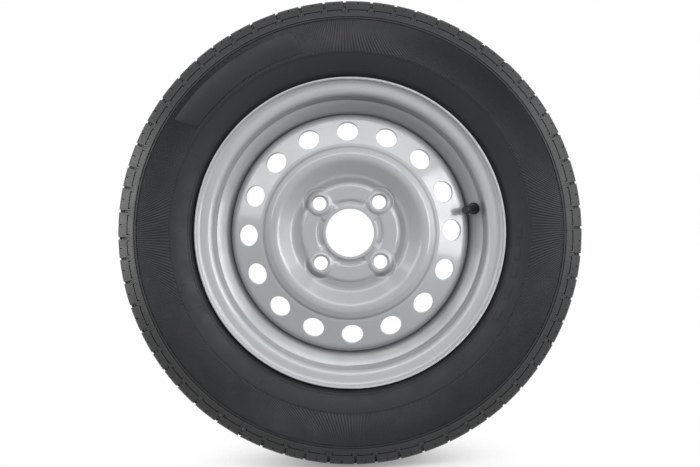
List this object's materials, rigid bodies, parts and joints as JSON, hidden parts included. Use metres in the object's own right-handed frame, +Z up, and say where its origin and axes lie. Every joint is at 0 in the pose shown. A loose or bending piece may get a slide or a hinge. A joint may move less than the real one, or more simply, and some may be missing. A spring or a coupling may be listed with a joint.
{
  "type": "trailer wheel and tyre",
  "caption": "Steel disc wheel with a ring of round vents, a bolt-on hub bowl, a snap-in valve and a ribbed tubeless road tyre for a light trailer or small car.",
  "frame": {"origin": "wheel centre: on the axle, halfway between the rim's flanges", "axes": "Y along the axle with the outer face towards -Y and the hub side towards +Y, +Z up, X across"},
  "size_m": [0.557, 0.1432, 0.557],
  "materials": {
    "tyre_rubber": "moulded matt black rubber",
    "rim_paint": "silver paint on rolled steel",
    "disc_paint": "silver paint on pressed steel",
    "weld_paint": "silver paint over a rough weld",
    "valve_rubber": "smooth black rubber",
    "stem_brass": "turned brass",
    "core_brass": "turned brass",
    "seal_rubber": "soft black rubber",
    "spring_steel": "drawn steel wire",
    "cap_plastic": "moulded black plastic"
  },
  "bodies": {
    "wheel": {"tyre": "tyre_rubber", "rim": "rim_paint", "disc": "disc_paint", "weld_beads": "weld_paint", "valve_body": "valve_rubber", "valve_stem": "stem_brass", "core_plug": "core_brass", "core_barrel": "core_brass", "core_barrel_seal": "seal_rubber", "core_spring": "spring_steel"},
    "core_pin": {"core_pin": "core_brass", "core_seat_seal": "seal_rubber"},
    "cap_washer": {"cap_seal": "seal_rubber"},
    "valve_cap": {"valve_cap": "cap_plastic"}
  },
  "joints": [
    {"name": "core_press", "type": "slide", "parent": "wheel", "child": "core_pin", "axis": [0.4383, 0.8957, 0.0749], "range_m": [0, 0.0012], "stiffness_N_per_m": 400, "springref_m": -0.004, "deforming": ["core_spring"]},
    {"name": "cap_lift", "type": "slide", "parent": "wheel", "child": "cap_washer", "axis": [-0.4383, -0.8957, -0.0749], "range_m": [0, 0.00476]},
    {"name": "cap_turn", "type": "hinge", "parent": "cap_washer", "child": "valve_cap", "pos_m": [0.15092, -0.01713, 0.0258], "axis": [-0.4383, -0.8957, -0.0749], "range_deg": [0, 2162]}
  ],
  "couplings": [
    {"joint": "cap_turn", "follows": "cap_lift", "rad_per_m": 7915.8}
  ]
}
